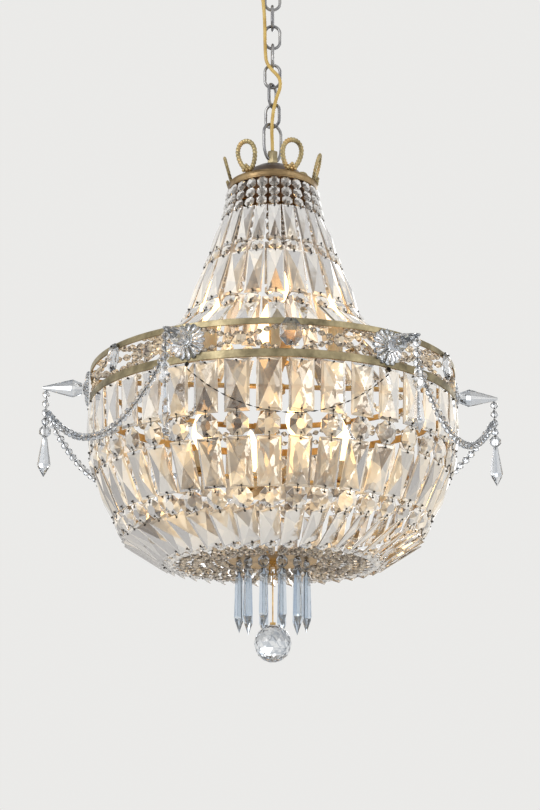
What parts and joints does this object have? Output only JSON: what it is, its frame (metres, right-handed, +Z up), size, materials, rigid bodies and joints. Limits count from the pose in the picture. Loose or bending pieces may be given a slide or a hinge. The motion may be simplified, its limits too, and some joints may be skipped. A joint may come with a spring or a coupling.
{
  "type": "tent and basket crystal chandelier",
  "caption": "Crystal chandelier with a tent of cut bars over a basket of bars and octagons, on two brass rings with rosettes, spikes and festoons, hung on a short chain from a ceiling canopy.",
  "frame": {"origin": "middle of the ceiling strap's upper face, midway between its two screw slots, on the ceiling's plane", "axes": "+Z up into the ceiling along the chain, -Y towards the front of the picture, +X to the right in it"},
  "size_m": [0.6146, 0.5558, 1.0686],
  "materials": {
    "aged_brass": "aged satin",
    "gilt_brass": "polished, lacquered",
    "plated_steel": "plated, a little dull",
    "zinc_steel": "zinc plated",
    "flex_sheath": "gold coloured flex",
    "ivory_card": "matt candle sleeve",
    "bulb_glass": "clear bulb, lit warm",
    "crystal": "cut and polished"
  },
  "bodies": {
    "ceiling": {"ceiling_strap": "zinc_steel", "nipple": "aged_brass", "nipple_nut": "aged_brass", "canopy": "aged_brass", "screw_collar": "aged_brass", "ceiling_loop": "aged_brass"},
    "top_link": {"top_link": "plated_steel"},
    "ball": {"ball": "crystal", "ball_hanger": "gilt_brass"},
    "pendant_1": {"pendant_1": "crystal"},
    "pendant_2": {"pendant_2": "crystal"},
    "pendant_3": {"pendant_3": "crystal"},
    "pendant_4": {"pendant_4": "crystal"},
    "pendant_5": {"pendant_5": "crystal"},
    "pendant_6": {"pendant_6": "crystal"},
    "fixture": {"basket_end_beads": "crystal", "basket_floor_bars": "crystal", "basket_floor_octagons": "crystal", "basket_lower_octagons": "crystal", "basket_middle_bars": "crystal", "basket_upper_bars": "crystal", "basket_upper_octagons": "crystal", "bottom_hub": "gilt_brass", "bow_knots": "crystal", "bows": "gilt_brass", "bulbs": "bulb_glass", "candles": "ivory_card", "chain_links": "plated_steel", "crown": "aged_brass", "crown_loop": "aged_brass", "drip_cups": "gilt_brass", "festoon_beads": "crystal", "flex": "flex_sheath", "front_pin_chain": "plated_steel", "hub_nut": "gilt_brass", "hub_rod": "gilt_brass", "icicle_octagons": "crystal", "icicles": "crystal", "lattice_beads": "crystal", "lattice_octagons": "crystal", "lower_arms": "gilt_brass", "lower_ring": "aged_brass", "panel_octagons": "crystal", "ring_posts": "aged_brass", "rosettes": "crystal", "spider": "gilt_brass", "spikes": "crystal", "stem": "gilt_brass", "stem_nuts": "gilt_brass", "tent_collar_crystals": "crystal", "tent_foot_bars": "crystal", "tent_foot_beads": "crystal", "tent_lower_octagons": "crystal", "tent_middle_bars": "crystal", "tent_upper_bars": "crystal", "tent_upper_octagons": "crystal", "tip_beads": "crystal", "upper_ring": "aged_brass"}
  },
  "joints": [
    {"name": "chain_swing_fore_aft", "type": "hinge", "parent": "ceiling", "child": "top_link", "pos_m": [0, 0, -0.0794], "axis": [1, 0, 0], "range_deg": [-5, 5]},
    {"name": "chain_swing_sideways", "type": "hinge", "parent": "top_link", "child": "fixture", "pos_m": [0, 0, -0.1099], "axis": [0, 1, 0], "range_deg": [-5, 5]},
    {"name": "ball_swing", "type": "hinge", "parent": "fixture", "child": "ball", "pos_m": [0, 0, -0.9549], "axis": [1, 0, 0], "range_deg": [-6, 6]},
    {"name": "pendant_1_swing", "type": "hinge", "parent": "fixture", "child": "pendant_1", "pos_m": [-0.12662, -0.27153, -0.75132], "axis": [0.9063, -0.4226, 0], "range_deg": [-20, 8]},
    {"name": "pendant_2_swing", "type": "hinge", "parent": "fixture", "child": "pendant_2", "pos_m": [0.17184, -0.24542, -0.75132], "axis": [0.8192, 0.5736, 0], "range_deg": [-20, 8]},
    {"name": "pendant_3_swing", "type": "hinge", "parent": "fixture", "child": "pendant_3", "pos_m": [0.29846, 0.02611, -0.75132], "axis": [-0.0872, 0.9962, 0], "range_deg": [-20, 8]},
    {"name": "pendant_4_swing", "type": "hinge", "parent": "fixture", "child": "pendant_4", "pos_m": [0.12662, 0.27153, -0.75132], "axis": [-0.9063, 0.4226, 0], "range_deg": [-20, 8]},
    {"name": "pendant_5_swing", "type": "hinge", "parent": "fixture", "child": "pendant_5", "pos_m": [-0.17184, 0.24542, -0.75132], "axis": [-0.8192, -0.5736, 0], "range_deg": [-20, 8]},
    {"name": "pendant_6_swing", "type": "hinge", "parent": "fixture", "child": "pendant_6", "pos_m": [-0.29846, -0.02611, -0.75132], "axis": [0.0872, -0.9962, 0], "range_deg": [-20, 8]}
  ]
}
